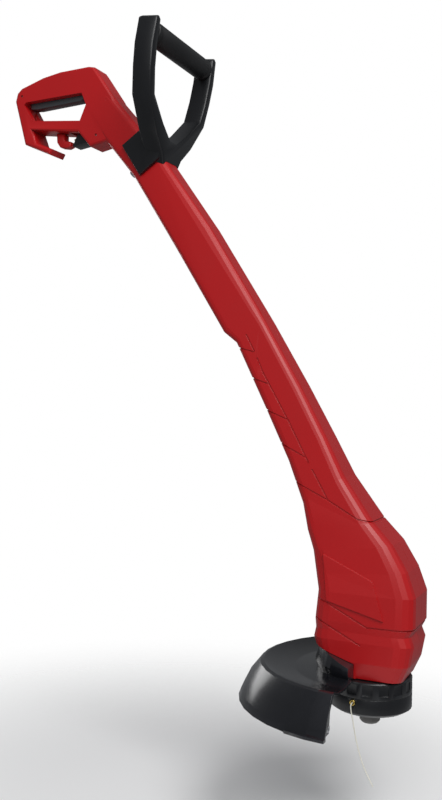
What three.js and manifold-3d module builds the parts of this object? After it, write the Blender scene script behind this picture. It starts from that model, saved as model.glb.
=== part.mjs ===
// An electric string trimmer: a one-piece clamshell body with a closed rear handle, a loop handle on the
// shaft, a motor over the cutting head, a half-round guard and a tap-and-go line spool.
// Millimetres, +Z up along the motor shaft, +X forwards, +Y to the user's left. The model is drawn from the
// cutting head and moved at the end, so that the origin is in the middle of the rear grip.
import * as THREE from "three";
import { mergeVertices } from "three/addons/utils/BufferGeometryUtils.js";
import Module from "manifold-3d";

const wasm = await Module();
wasm.setup();

// ---- Driving dimensions -------------------------------------------------------------------------
const WALL = 2.4; // moulded shell wall
const GAP = 0.3; // clearance between pieces that touch
const RUN = 0.6; // clearance round pieces that move

const HEAD_RADIUS = 46; // line head
const CAP_HEIGHT = 20;
const DRUM_HEIGHT = 18;
const CAP_FLOOR = 2.5;
const KNOB_RADIUS = 11.5;
const KNOB_DROP = 18; // how far the tap knob stands out under the cap
const TAP_TRAVEL = 5;
const EYELET_ANGLE = -99; // degrees round the head
const LINE_RADIUS = 0.6;

const SHAFT_RADIUS = 4;
const MOTOR_RADIUS = 31;
const MOTOR_CLEARANCE = 6;
const CORE_HEIGHT = 40;
const PLATE = 4; // end plates of the motor
const BEARING_RADIUS = 9;
const ARMATURE_RADIUS = 22;
const FAN_HEIGHT = 8;
const BRUSH_HEIGHT = 72; // over the lower edge of the body
const PIN_RADIUS = 1.5;

const LEAN = 33.8; // degrees between the shaft and the vertical
const SHAFT_LENGTH = 677; // along the front face, from the motor shoulder to the top of the handle
const SHOULDER = { x: 2, z: 205 }; // where the front face of the shaft starts
const SHAFT_HALF_WIDTH = 19;
const SHAFT_DEPTH = 31; // behind the straight line of its front face
const SHAFT_CROWN = 20; // how far the front face arches out from that line

const GROOVE_DEPTH = 1; // moulded lines on the sides of the body
const GROOVE_WIDTH = 1.6;
const PANEL_RAISE = 1.8; // how far the side panels stand out

const HAND_OPENING = 98; // length of the hole that the rear hand goes through
const HANDLE_HALF_WIDTH = 17;
const TRIGGER_WIDTH = 14;

const GUARD_RADIUS = 148;
const GUARD_WALL = 2.6;
const GUARD_RIM = 6; // height of its lower edge
const COLLAR_RADIUS = 62;

const LOOP_BELOW_TOP = 160; // place of the loop handle, along the shaft
const LOOP_TILT = 8; // degrees forwards from the vertical
const LOOP_HALF_WIDTH = 80;
const LOOP_HEIGHT = 151;
const LOOP_DEPTH = 26; // fore and aft
const GRIP_RADIUS = 13.5;
const CORE_RADIUS = 9; // bar inside the soft grip

const BOSS_RADIUS = 4.2;
const SCREW_RADIUS = 1.5;
const SCREW_HEAD_RADIUS = 3.4;

// ---- Materials ----------------------------------------------------------------------------------
const finish = (color, roughness, metalness) =>
  new THREE.MeshStandardMaterial({ color, roughness, metalness });
const red = finish(0xb81f26, 0.42, 0);
const black = finish(0x17181b, 0.5, 0);
const charcoal = finish(0x2b2c30, 0.4, 0);
const grey = finish(0x5c6468, 0.6, 0);
const rubber = finish(0x101114, 0.85, 0);
const steel = finish(0xb9bcc0, 0.3, 1);
const brass = finish(0xc9a45a, 0.35, 1);
const copper = finish(0xb4703c, 0.4, 1);
const nylon = finish(0xdedccb, 0.4, 0);
const carbon = finish(0x2a2a2c, 0.8, 0);

// ---- Geometry helpers ---------------------------------------------------------------------------
const rad = THREE.MathUtils.degToRad;

// A closed three.js geometry as a manifold solid.
function solid(geometry) {
  const bare = geometry.index ? geometry.toNonIndexed() : geometry.clone();
  bare.deleteAttribute("normal");
  bare.deleteAttribute("uv");
  const merged = mergeVertices(bare, 1e-3);
  const made = new wasm.Manifold(
    new wasm.Mesh({
      numProp: 3,
      vertProperties: merged.attributes.position.array,
      triVerts: new Uint32Array(merged.index.array),
    }),
  );
  if (made.volume() > 0) return made;
  const turned = new Uint32Array(merged.index.array);
  for (let i = 0; i < turned.length; i += 3) {
    [turned[i + 1], turned[i + 2]] = [turned[i + 2], turned[i + 1]];
  }
  return new wasm.Manifold(
    new wasm.Mesh({
      numProp: 3,
      vertProperties: merged.attributes.position.array,
      triVerts: turned,
    }),
  );
}

// A manifold solid as a named mesh.
function piece(name, body, material) {
  const { numProp, vertProperties, triVerts } = body.getMesh();
  const position = new Float32Array((vertProperties.length / numProp) * 3);
  for (let i = 0; i < position.length / 3; i++) {
    position.set(vertProperties.subarray(i * numProp, i * numProp + 3), i * 3);
  }
  const geometry = new THREE.BufferGeometry();
  geometry.setAttribute("position", new THREE.BufferAttribute(position, 3));
  geometry.setIndex(new THREE.BufferAttribute(triVerts, 1));
  const mesh = new THREE.Mesh(geometry, material);
  mesh.name = name;
  return mesh;
}

const union = (...bodies) => bodies.reduce((all, body) => all.add(body));

function box(low, high) {
  const size = high.map((v, i) => v - low[i]);
  const centre = high.map((v, i) => (v + low[i]) / 2);
  return solid(new THREE.BoxGeometry(...size).translate(...centre));
}

// A shape drawn in the X-Z plane, extruded across Y.
function plate(shape, low, high, rounding = 0, segments = 2) {
  const depth = high - low - 2 * rounding;
  const geometry = new THREE.ExtrudeGeometry(shape, {
    depth,
    curveSegments: 6,
    bevelEnabled: rounding > 0,
    bevelThickness: rounding,
    bevelSize: rounding,
    bevelOffset: -rounding,
    bevelSegments: segments,
  });
  return solid(geometry.rotateX(Math.PI / 2).translate(0, high - rounding, 0));
}

const polygon = (points) =>
  new THREE.Shape(points.map(([x, z]) => new THREE.Vector2(x, z)));

// A profile of [radius, height] points turned round the Z axis.
function turned(points, segments = 32) {
  const profile = points.map(([r, z]) => new THREE.Vector2(r, z));
  if (profile[0].x > 0) profile.push(profile[0].clone());
  return solid(new THREE.LatheGeometry(profile, segments).rotateX(Math.PI / 2));
}

const disc = (radius, low, high, segments = 32) =>
  turned([[0, low], [radius, low], [radius, high], [0, high]], segments);

const ring = (inner, outer, low, high, segments = 32) =>
  turned([[inner, low], [outer, low], [outer, high], [inner, high]], segments);

// A cylinder between two points.
function rod(from, to, radius, segments = 12) {
  const a = new THREE.Vector3(...from);
  const b = new THREE.Vector3(...to);
  const along = b.clone().sub(a);
  const turn = new THREE.Quaternion().setFromUnitVectors(
    new THREE.Vector3(0, 1, 0),
    along.clone().normalize(),
  );
  const geometry = new THREE.CylinderGeometry(radius, radius, along.length(), segments);
  geometry.applyQuaternion(turn);
  const middle = a.add(b).multiplyScalar(0.5);
  return solid(geometry.translate(middle.x, middle.y, middle.z));
}

// A round tube along a smooth curve through the points.
function cable(points, radius, steps, sides = 6) {
  const path = new THREE.CatmullRomCurve3(points.map((p) => new THREE.Vector3(...p)));
  const section = new THREE.Shape();
  for (let i = 0; i < sides; i++) {
    const angle = (2 * Math.PI * i) / sides;
    const x = radius * Math.cos(angle);
    const y = radius * Math.sin(angle);
    if (i === 0) section.moveTo(x, y);
    else section.lineTo(x, y);
  }
  return solid(new THREE.ExtrudeGeometry(section, { steps, extrudePath: path, bevelEnabled: false }));
}

// A round-cornered skin through stations. A station gives the rear and front edge of its section in the
// X-Z plane, and its half width; grow makes the whole skin thicker, or thinner when it is negative.
function skin(stations, grow) {
  const corner = 0.34;
  const unit = new THREE.Shape();
  unit.moveTo(1, -1 + corner);
  unit.lineTo(1, 1 - corner);
  unit.absarc(1 - corner, 1 - corner, corner, 0, Math.PI / 2);
  unit.lineTo(-1 + corner, 1);
  unit.absarc(-1 + corner, 1 - corner, corner, Math.PI / 2, Math.PI);
  unit.lineTo(-1, -1 + corner);
  unit.absarc(-1 + corner, -1 + corner, corner, Math.PI, 1.5 * Math.PI);
  unit.lineTo(1 - corner, -1);
  unit.absarc(1 - corner, -1 + corner, corner, 1.5 * Math.PI, 2 * Math.PI);
  const last = stations.length - 1;
  const geometry = new THREE.ExtrudeGeometry(unit, {
    depth: last,
    steps: last,
    curveSegments: 2,
    bevelEnabled: false,
  });
  const at = geometry.attributes.position;
  for (let i = 0; i < at.count; i++) {
    const { rear, front, half } = stations[Math.round(at.getZ(i))];
    const middle = [(rear[0] + front[0]) / 2, (rear[1] + front[1]) / 2];
    const reach = Math.hypot(front[0] - rear[0], front[1] - rear[1]) / 2;
    const share = (at.getX(i) * (reach + grow)) / reach;
    at.setXYZ(
      i,
      middle[0] + ((front[0] - rear[0]) / 2) * share,
      at.getY(i) * (half + grow),
      middle[1] + ((front[1] - rear[1]) / 2) * share,
    );
  }
  return solid(geometry);
}

// ---- Places -------------------------------------------------------------------------------------
const uphill = [-Math.sin(rad(LEAN)), Math.cos(rad(LEAN))]; // along the shaft, in X-Z
const forwards = [Math.cos(rad(LEAN)), Math.sin(rad(LEAN))]; // square to the shaft, in X-Z

// The X-Z place that is so far up the front face, and so far in behind it.
const onShaft = (along, behind) => [
  SHOULDER.x + uphill[0] * along - forwards[0] * behind,
  SHOULDER.z + uphill[1] * along - forwards[1] * behind,
];

const loopAlong = SHAFT_LENGTH - LOOP_BELOW_TOP;
const drumLow = CAP_HEIGHT + GAP;
const drumHigh = drumLow + DRUM_HEIGHT;
const bodyLow = drumHigh + 1.4; // lowest edge of the body, just over the spinning drum
const bayRadius = MOTOR_RADIUS + MOTOR_CLEARANCE + WALL;
const neckRadius = bayRadius + 1;
const collarLow = { x: -8, z: bodyLow + 16 }; // lower edge of the body where the guard's collar fits in
const collarSlope = 0.33;

// ---- Body shells --------------------------------------------------------------------------------
const bay = (z, back, ahead, half) => ({
  rear: [-bayRadius - back, z],
  front: [bayRadius + ahead, z],
  half: bayRadius + half,
});
const limb = (along, depth, half, bulge = 0) => ({
  rear: onShaft(along, depth),
  front: onShaft(along, -bulge),
  half,
});
const bodyStations = [
  bay(bodyLow, 4, 3, -2),
  bay(bodyLow + 18, 11, 11, 2),
  bay(bodyLow + 40, 18, 15, 3),
  bay(bodyLow + 50, 16, 11, 2),
  bay(bodyLow + 60, 17, 16, 2.5),
  bay(bodyLow + 92, 14, 16, 2),
  { rear: [-57, 150], front: [46, 158], half: bayRadius - 0.5 },
  { rear: [-61, 174], front: [29, 186], half: bayRadius - 2 },
  { rear: [-69, 196], front: [SHOULDER.x + 5, SHOULDER.z + 4], half: bayRadius - 5 },
  limb(60, 54, 29, 4),
  limb(110, 44, 25, SHAFT_CROWN - 11),
  limb(175, 36, 22.5, SHAFT_CROWN - 6),
  limb(262, SHAFT_DEPTH - 5, SHAFT_HALF_WIDTH + 1.5, SHAFT_CROWN - 2),
  limb(282, SHAFT_DEPTH + 2, SHAFT_HALF_WIDTH + 1, SHAFT_CROWN - 1.5),
  limb(400, SHAFT_DEPTH, SHAFT_HALF_WIDTH, SHAFT_CROWN),
  limb(SHAFT_LENGTH - 160, SHAFT_DEPTH - 1, SHAFT_HALF_WIDTH, SHAFT_CROWN - 5),
  limb(SHAFT_LENGTH - 135, SHAFT_DEPTH + 2, SHAFT_HALF_WIDTH, SHAFT_CROWN - 9),
  limb(SHAFT_LENGTH - 95, SHAFT_DEPTH + 7, SHAFT_HALF_WIDTH - 0.5, SHAFT_CROWN - 13),
  limb(SHAFT_LENGTH - 45, SHAFT_DEPTH + 9, HANDLE_HALF_WIDTH),
];

// The rear handle is drawn from the top of the neck. Points behind the hand opening move with its length.
const top = onShaft(SHAFT_LENGTH, 0);
const fromTop = (x, z) => [top[0] + x, top[1] + z];
const openingFront = -9;
const atRear = (x, z) => fromTop(openingFront - HAND_OPENING + x, z);
const opening = [
  fromTop(openingFront, -50),
  fromTop(openingFront - 9, -70),
  atRear(14, -62),
  atRear(0, -39),
  atRear(3, -36),
  fromTop(openingFront - 7, -34),
];
const handleOutline = polygon([
  fromTop(32, -45),
  fromTop(8, -11),
  fromTop(2, -3),
  fromTop(-7, -1),
  fromTop(-50, -2),
  atRear(30, -6),
  atRear(-5, -16),
  atRear(-12, -22),
  atRear(-15, -33),
  atRear(2, -92),
  atRear(42, -109),
  atRear(46, -102),
  atRear(20, -91),
  atRear(13, -74),
  fromTop(openingFront - 12, -84),
  fromTop(openingFront + 7, -105),
  fromTop(24, -100),
  fromTop(45, -88),
]);
const openingCut = plate(polygon(opening), -60, 60);
const handleOuter = plate(handleOutline, -HANDLE_HALF_WIDTH, HANDLE_HALF_WIDTH, 3).subtract(openingCut);
const gripCavity = plate(
  polygon([
    fromTop(-2, -8),
    fromTop(-50, -5),
    atRear(28, -10),
    atRear(-4, -21),
    atRear(-9, -33),
    atRear(-3, -36),
    fromTop(openingFront - 3, -29),
    fromTop(openingFront + 4, -49),
    fromTop(24, -52),
    fromTop(20, -38),
  ]),
  -HANDLE_HALF_WIDTH + WALL + 1,
  HANDLE_HALF_WIDTH - WALL - 1,
);
const inletCavity = plate(
  polygon([
    fromTop(openingFront - 14, -76),
    fromTop(openingFront + 2, -60),
    fromTop(30, -60),
    fromTop(30, -88),
    fromTop(openingFront + 8, -99),
  ]),
  -HANDLE_HALF_WIDTH + WALL + 1,
  HANDLE_HALF_WIDTH - WALL - 1,
);

// Screws go in from the left shell (+Y) into bosses in the right one.
const screwPlaces = [
  [bayRadius - 3, bodyLow + 26],
  [-bayRadius - 1, bodyLow + 56],
  [-30, 166],
  onShaft(90, 22),
  onShaft(235, 12),
  onShaft(loopAlong - 117, 14),
  fromTop(22, -48),
  atRear(-4, -27),
  fromTop(openingFront + 16, -91),
];
const screwSeat = 9; // the heads sit this far in from the parting plane
const bosses = screwPlaces.map(([x, z]) => rod([x, -bayRadius, z], [x, bayRadius, z], BOSS_RADIUS));
const screwHoles = screwPlaces.map(([x, z]) =>
  union(
    rod([x, -screwSeat - 8, z], [x, screwSeat + 1, z], SCREW_RADIUS + GAP, 8),
    rod([x, screwSeat, z], [x, 60, z], SCREW_HEAD_RADIUS + GAP, 12),
  ),
);

const boltAlong = loopAlong + 12;
// The loop handle's bolt runs through the shaft, square to it, inside a pillar.
const lengthwise = (behind, side = 0) => {
  const [x, z] = onShaft(boltAlong, behind);
  return [x, side, z];
};
const boltPillar = rod(lengthwise(SHAFT_DEPTH + 5), lengthwise(-SHAFT_CROWN), 6.2, 20);
const boltHole = union(
  rod(lengthwise(SHAFT_DEPTH + 20), lengthwise(-SHAFT_CROWN - 20), 2.5 + GAP, 16),
  rod(lengthwise(SHAFT_DEPTH + 20), lengthwise(SHAFT_DEPTH + 2), 4.6 + GAP, 20),
);

const outerSkin = skin(bodyStations, 0);
const bodyOuter = union(outerSkin, handleOuter);
const stem = (grow) => skin(bodyStations, grow);
const openBase = ring(0.1, bayRadius - 4 - WALL, bodyLow - 10, bodyLow + 6);
const bodyInner = union(stem(-WALL), openBase, gripCavity, inletCavity);
const belowSlope = (drop) =>
  plate(
    polygon([
      [-200, bodyLow - 40],
      [collarLow.x - drop, bodyLow - 40],
      [collarLow.x - drop, collarLow.z - drop],
      [-200, collarLow.z - drop + collarSlope * (200 + collarLow.x)],
    ]),
    -200,
    200,
  );
const collarRoom = belowSlope(0).subtract(disc(neckRadius, 0, 200, 48));
const shelf = belowSlope(-WALL)
  .subtract(belowSlope(0))
  .subtract(disc(neckRadius - WALL, 0, 200, 48))
  .subtract(box([collarLow.x, -200, 0], [100, 200, 200]));
const neckWall = ring(neckRadius - WALL, neckRadius, bodyLow, bodyLow + 30, 48).intersect(
  box([-80, -80, 0], [collarLow.x + 2, 80, 200]),
);

// Exhaust slots on both sides of the rear face, intake slots higher up.
const ventPitch = 11.5;
const vents = [0, 1, 2, 3].flatMap((i) => {
  const z = bodyLow + 64 + i * ventPitch;
  return [-1, 1].map((side) =>
    rod([-bayRadius - 20, side * 24, z + 2], [-bayRadius + 18, side * 18, z - 2], 2.6, 10),
  );
});

// A raised panel on each side of the motor, and lines that divide the back of the shaft into plates.
const band = (points) =>
  union(
    ...points.slice(1).map((to, i) => {
      const from = points[i];
      const length = Math.hypot(to[0] - from[0], to[1] - from[1]);
      const side = [
        ((from[1] - to[1]) * GROOVE_WIDTH) / 2 / length,
        ((to[0] - from[0]) * GROOVE_WIDTH) / 2 / length,
      ];
      const corners = [from, to].map(([x, z]) => [x + side[0], z + side[1]]);
      const others = [to, from].map(([x, z]) => [x - side[0], z - side[1]]);
      return plate(polygon([...corners, ...others]), -60, 60);
    }),
  );
const shaftLines = [
  [[262, 9], [238, 11], [212, 15], [149, 18], [101, 22], [47, 24]],
  [[266, 36], [238, 11]],
  [[222, 36], [198, 17]],
  [[181, 40], [149, 18]],
  [[138, 44], [101, 22]],
  [[98, 56], [47, 24], [12, 5], [-10, -18]],
].map((line) => band(line.map(([along, behind]) => onShaft(along, behind))));
const bayLines = [
  [[-62, 126], [-39, 119], [6, 97], [60, 98]],
  [[-62, 104], [-48, 99], [-1, 77]],
].map(band);
const grooves = union(...shaftLines, ...bayLines).subtract(stem(-GROOVE_DEPTH));
const sidePanel = plate(polygon([[-46, 172], [11, 147], [24, 106], [-40, 122]]), -60, 60)
  .intersect(stem(PANEL_RAISE))
  .subtract(stem(-GROOVE_DEPTH));

const triggerSlot = plate(
  polygon([
    atRear(2, -60),
    atRear(2, -28),
    fromTop(openingFront - 8, -24),
    fromTop(openingFront - 8, -60),
  ]),
  -TRIGGER_WIDTH / 2 - RUN,
  TRIGGER_WIDTH / 2 + RUN,
);
const inletMouth = plate(
  polygon([
    fromTop(openingFront - 30, -78),
    fromTop(openingFront + 4, -78),
    fromTop(openingFront + 4, -97),
    fromTop(openingFront - 30, -110),
  ]),
  -10,
  10,
);
// Every inside piece is cut out of the shells with its clearance, so the shells seat it like moulded ribs.
const motorTop = bodyLow + 92;
const upperPlateLow = motorTop - PLATE;
const lowerPlateLow = bodyLow + 5;
const coreLow = lowerPlateLow + 20;
const coreHigh = coreLow + CORE_HEIGHT;
const pinPlace = atRear(8, -30);
const pinReach = HANDLE_HALF_WIDTH - 1.5;
const across = ([x, z], reach, radius, segments) => rod([x, -reach, z], [x, reach, z], radius, segments);

const guardAngles = [125, -125]; // guard screws, round the motor
const guardHoles = guardAngles.map((angle) =>
  rod([30 * Math.cos(rad(angle)), 30 * Math.sin(rad(angle)), bodyLow + 8],
    [60 * Math.cos(rad(angle)), 60 * Math.sin(rad(angle)), bodyLow + 8], SCREW_RADIUS + GAP, 8),
);
const webs = [lowerPlateLow, upperPlateLow].map((z) => disc(bayRadius + 20, z, z + PLATE, 48));
const shellSolid = bodyOuter
  .subtract(bodyInner)
  .add(sidePanel)
  .subtract(grooves)
  .add(union(...bosses, boltPillar).intersect(bodyOuter))
  .subtract(collarRoom)
  .add(neckWall)
  .add(union(shelf, ...webs).intersect(bodyOuter).subtract(collarRoom))
  .subtract(union(openingCut, triggerSlot, inletMouth, boltHole, ...screwHoles, ...vents, ...guardHoles));

const seats = union(
  disc(MOTOR_RADIUS + GAP, bodyLow - 5, motorTop + GAP, 32),
  across(pinPlace, pinReach + GAP, PIN_RADIUS + GAP, 12),
);
const shell = shellSolid.subtract(seats);
const half = (side) =>
  side < 0
    ? shell.intersect(box([-700, -120, -100], [200, -GAP / 2, 1000]))
    : shell.intersect(box([-700, GAP / 2, -100], [200, 120, 1000]));

// The biggest body of a solid, without the crumbs that a cut can leave.
const largest = (body) =>
  body.decompose().reduce((best, one) => (one.volume() > best.volume() ? one : best));

const housing = [
  piece("housing_right", largest(half(-1)), red),
  piece("housing_left", largest(half(1)), red),
];

// ---- Cable hook, inlet and switch gear ----------------------------------------------------------
// The hook hangs from the lower bar of the handle, and its foot points forwards.
const cordHook = plate(
  polygon([
    atRear(45, -78.5 - GAP),
    atRear(58, -80.3 - GAP),
    atRear(58, -90),
    atRear(68, -92),
    atRear(68, -98),
    atRear(62, -100),
    atRear(51, -98),
    atRear(46, -91),
  ]),
  -6,
  6,
  1.5,
);
const inletBody = plate(
  polygon([
    fromTop(openingFront + 4 - GAP, -79),
    fromTop(openingFront - 17, -85),
    fromTop(openingFront - 24, -100),
    fromTop(openingFront + 4 - GAP, -96),
  ]),
  -10 + GAP,
  10 - GAP,
);

const inletPins = [-1, 1].map((side) => {
  const [x, z] = fromTop(openingFront - 14, -87);
  return rod([x - 10, side * 4.5, z - 4], [x + 12, side * 4.5, z + 4], 1.6, 12);
});
const inletHollow = plate(
  polygon([
    fromTop(openingFront - 8, -85),
    fromTop(openingFront - 40, -88),
    fromTop(openingFront - 40, -105),
    fromTop(openingFront - 8, -94),
  ]),
  -7.5,
  7.5,
);
const pinRoom = [-1, 1].map((side) => {
  const [x, z] = fromTop(openingFront - 14, -87);
  return rod([x - 12, side * 4.5, z - 4.7], [x + 14, side * 4.5, z + 4.7], 1.6 + GAP, 12);
});
const mains = [
  piece("mains_inlet", largest(inletBody.subtract(union(inletHollow, ...pinRoom))), black),
  piece("contact_pin_right", inletPins[0], brass),
  piece("contact_pin_left", inletPins[1], brass),
  piece("cord_hook", cordHook, red),
];

// ---- Trigger and switch -------------------------------------------------------------------------
const triggerBody = plate(
  polygon([
    atRear(4, -25),
    atRear(4, -43),
    atRear(16, -44),
    fromTop(openingFront - 14, -41),
    fromTop(openingFront - 9, -37),
    fromTop(openingFront - 9, -26),
  ]),
  -TRIGGER_WIDTH / 2,
  TRIGGER_WIDTH / 2,
  1.5,
);
const plungerPlace = fromTop(openingFront - 32, -24.6);
const plungerLever = plungerPlace[0] - pinPlace[0];
const springPlace = fromTop(openingFront - 16, -25);
const switchLow = plungerPlace[1] + 7;
const upright = ([x], low, high, radius, segments) => rod([x, 0, low], [x, 0, high], radius, segments);
const coil = (x, low, high, radius, turns, wire, sides = 6) => {
  const points = [];
  for (let i = 0; i <= turns * 8; i++) {
    const angle = (i * Math.PI) / 4;
    const z = low + wire + ((high - low - 2 * wire) * i) / (turns * 8);
    points.push([x + radius * Math.cos(angle), radius * Math.sin(angle), z]);
  }
  return cable(points, wire, turns * 8, sides);
};
const controls = [
  piece("trigger", triggerBody.subtract(across(pinPlace, 20, PIN_RADIUS + GAP, 12)), grey),
  piece("trigger_pin", across(pinPlace, pinReach, PIN_RADIUS, 12), steel),
  piece("trigger_spring", coil(springPlace[0], springPlace[1] + 0.6, springPlace[1] + 15, 3, 4, 0.5), steel),
  piece("switch_plunger", upright(plungerPlace, plungerPlace[1] + GAP, plungerPlace[1] + 12, 2, 12), grey),
  piece(
    "switch_body",
    box([plungerPlace[0] - 14, -8, switchLow], [plungerPlace[0] + 8, 8, switchLow + 10.5]).subtract(
      upright(plungerPlace, switchLow - 1, switchLow + 9.7, 2 + RUN, 12),
    ),
    black,
  ),
];
const capacitorFrom = onShaft(SHAFT_LENGTH - 92, 21);
const capacitorTo = onShaft(SHAFT_LENGTH - 116, 20);
const along3 = ([x, z], y = 0) => [x, y, z];
const wiring = [
  piece("suppressor", rod(along3(capacitorFrom), along3(capacitorTo), 7, 16), charcoal),
  piece(
    "motor_lead",
    cable(
      [
        along3(onShaft(loopAlong + 40, 17), -10.5),
        along3(onShaft(loopAlong - 30, 17), -10.5),
        along3(onShaft(loopAlong - 85, 24.5), -3),
        along3(onShaft(300, 23.5)),
        along3(onShaft(262, 21)),
        along3(onShaft(210, 21.5)),
        along3(onShaft(150, 27)),
        along3(onShaft(90, 33)),
        along3(onShaft(20, 48)),
        [-46, 0, motorTop + 42],
        [-44, 0, motorTop + 18],
      ],
      2.2,
      24,
      6,
    ),
    rubber,
  ),
];

// ---- Motor --------------------------------------------------------------------------------------
const shaftRoom = SHAFT_RADIUS + GAP;
const brushLow = bodyLow + BRUSH_HEIGHT;
const plateHole = disc(BEARING_RADIUS + GAP, 0, 300, 32);
const airHoles = [0, 1, 2, 3, 4, 5].map((i) => {
  const angle = (i * Math.PI) / 3 + Math.PI / 6;
  const reach = (BEARING_RADIUS + MOTOR_RADIUS) / 2;
  const [x, y] = [reach * Math.cos(angle), reach * Math.sin(angle)];
  return rod([x, y, 0], [x, y, 300], 5, 12);
});
const brushRoom = [-1, 1].map((side) => box([-5 - GAP, Math.min(side * 12, side * 40), brushLow - GAP],
  [5 + GAP, Math.max(side * 12, side * 40), brushLow + 10 + GAP]));
const lowerBearingPlate = disc(MOTOR_RADIUS, lowerPlateLow, lowerPlateLow + PLATE, 48).subtract(
  union(plateHole, ...airHoles),
);
const upperBearingPlate = union(
  disc(MOTOR_RADIUS, upperPlateLow, motorTop, 32),
  ring(MOTOR_RADIUS - 4, MOTOR_RADIUS, brushLow - 3, motorTop, 32),
).subtract(union(plateHole, ...airHoles, ...brushRoom));
const across3 = (side, near, far, half, low, high) =>
  box([-half, Math.min(side * near, side * far), low], [half, Math.max(side * near, side * far), high]);
const commutatorRadius = 11;
const brushParts = [-1, 1].flatMap((side) => {
  const name = side < 0 ? "right" : "left";
  const holder = across3(side, 14, MOTOR_RADIUS, 5, brushLow, brushLow + 10).subtract(
    across3(side, 13, MOTOR_RADIUS - 3, 3 + GAP, brushLow + 2 - GAP, brushLow + 8 + GAP),
  );
  return [
    piece("brush_holder_" + name, holder, brass),
    piece(
      "carbon_brush_" + name,
      across3(side, commutatorRadius + GAP, 23, 3, brushLow + 2, brushLow + 8),
      carbon,
    ),
  ];
});
const fanRadius = MOTOR_RADIUS - 5;
const fanLow = lowerPlateLow + PLATE + 2;
const fanBlades = [0, 1, 2, 3, 4, 5, 6].map((i) =>
  box([8, -1, fanLow], [fanRadius, 1, fanLow + FAN_HEIGHT]).rotate([0, 0, (360 * i) / 7]),
);
const motor = [
  piece("lower_bearing_plate", lowerBearingPlate, charcoal),
  piece("upper_bearing_plate", upperBearingPlate, charcoal),
  piece("lower_bearing", ring(shaftRoom, BEARING_RADIUS, lowerPlateLow, lowerPlateLow + PLATE, 32), brass),
  piece("upper_bearing", ring(shaftRoom, BEARING_RADIUS, upperPlateLow, motorTop, 32), brass),
  piece("field_core", ring(ARMATURE_RADIUS + RUN, MOTOR_RADIUS, coreLow, coreHigh, 32), steel),
  piece("field_coil_lower", ring(ARMATURE_RADIUS + 2, MOTOR_RADIUS - 2, coreLow - 5, coreLow - GAP), copper),
  piece(
    "field_coil_upper",
    ring(ARMATURE_RADIUS + 2, MOTOR_RADIUS - 2, coreHigh + GAP, coreHigh + 4),
    copper,
  ),
  ...brushParts,
  piece("motor_shaft", disc(SHAFT_RADIUS, 17 + GAP, motorTop + 3, 24), steel),
  piece("armature_core", ring(shaftRoom, ARMATURE_RADIUS, coreLow, coreHigh, 32), steel),
  piece("commutator", ring(shaftRoom, commutatorRadius, brushLow - 1, brushLow + 11, 24), copper),
  piece("cooling_fan", union(ring(shaftRoom, 9, fanLow, fanLow + FAN_HEIGHT, 24), ...fanBlades,
    ring(shaftRoom, fanRadius, fanLow, fanLow + 1.5)), black),
];

// ---- Cutting head -------------------------------------------------------------------------------
const wallIn = HEAD_RADIUS - 3;
const knobTop = CAP_FLOOR + 2.5;
const spindleLow = knobTop + TAP_TRAVEL + RUN;
const spoolLow = knobTop + GAP;
const drumFloor = drumHigh - 3;
const spoolHigh = drumFloor - TAP_TRAVEL - 1.6;
const spoolRadius = HEAD_RADIUS - 8;
const hubRadius = SHAFT_RADIUS + 2.6;
const holderProfile = [
  [0, spindleLow],
  [hubRadius, spindleLow],
  [hubRadius, drumFloor],
  [wallIn, drumFloor],
  [wallIn, drumLow],
  [HEAD_RADIUS, drumLow],
  [HEAD_RADIUS, drumHigh - 1.5],
  [HEAD_RADIUS - 1.5, drumHigh],
  [shaftRoom, drumHigh],
  [shaftRoom, 17],
  [0, 17],
];
const recessCount = 16;
const recesses = [...Array(recessCount).keys()].map((i) =>
  box([HEAD_RADIUS - 1.4, -5.4, drumLow + 4], [HEAD_RADIUS + 3, 5.4, drumHigh - 3]).rotate([
    0,
    0,
    (360 * (i + 0.5)) / recessCount,
  ]),
);
const latchWidth = 16;
const latchLow = 6.5;
const latchHigh = drumLow + 9;
const latchTurn = 26; // degrees round the head
const latchBlock = (turn, spare) =>
  ring(HEAD_RADIUS - 3.2 - spare, HEAD_RADIUS + (spare ? 4 : 0), latchLow - spare, latchHigh + spare, 60)
    .intersect(box([0, -latchWidth / 2 - spare, 0], [80, latchWidth / 2 + spare, 80]))
    .rotate([0, 0, turn]);
const latchGrooves = (turn) =>
  union(
    ...[0, 1, 2].map((i) =>
      box([HEAD_RADIUS - 1, -6, latchLow + 2.5 + 4 * i], [HEAD_RADIUS + 2, 6, latchLow + 4 + 4 * i])
        .rotate([12, 0, turn]),
    ),
  );
const latchTurns = [latchTurn, latchTurn + 180];
const latchRoom = union(...latchTurns.map((turn) => latchBlock(turn, RUN)));
const capProfile = [
  [KNOB_RADIUS + RUN, 0],
  [HEAD_RADIUS - 6, 0],
  [HEAD_RADIUS, 4],
  [HEAD_RADIUS, CAP_HEIGHT],
  [wallIn, CAP_HEIGHT],
  [wallIn, 5.5],
  [HEAD_RADIUS - 7, CAP_FLOOR],
  [KNOB_RADIUS + RUN, CAP_FLOOR],
];
const knobProfile = [
  [0, -KNOB_DROP],
  [KNOB_RADIUS - 3, -KNOB_DROP],
  [KNOB_RADIUS, -KNOB_DROP + 3],
  [KNOB_RADIUS, CAP_FLOOR + GAP],
  [KNOB_RADIUS + 4, CAP_FLOOR + GAP],
  [KNOB_RADIUS + 4, knobTop],
  [0, knobTop],
];
const spoolProfile = [
  [hubRadius + RUN, spoolLow],
  [spoolRadius, spoolLow],
  [spoolRadius, spoolLow + 2],
  [14, spoolLow + 2],
  [14, spoolHigh - 2],
  [spoolRadius, spoolHigh - 2],
  [spoolRadius, spoolHigh],
  [hubRadius + RUN, spoolHigh],
];
const eyeletOut = [Math.cos(rad(EYELET_ANGLE)), Math.sin(rad(EYELET_ANGLE))];
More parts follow.
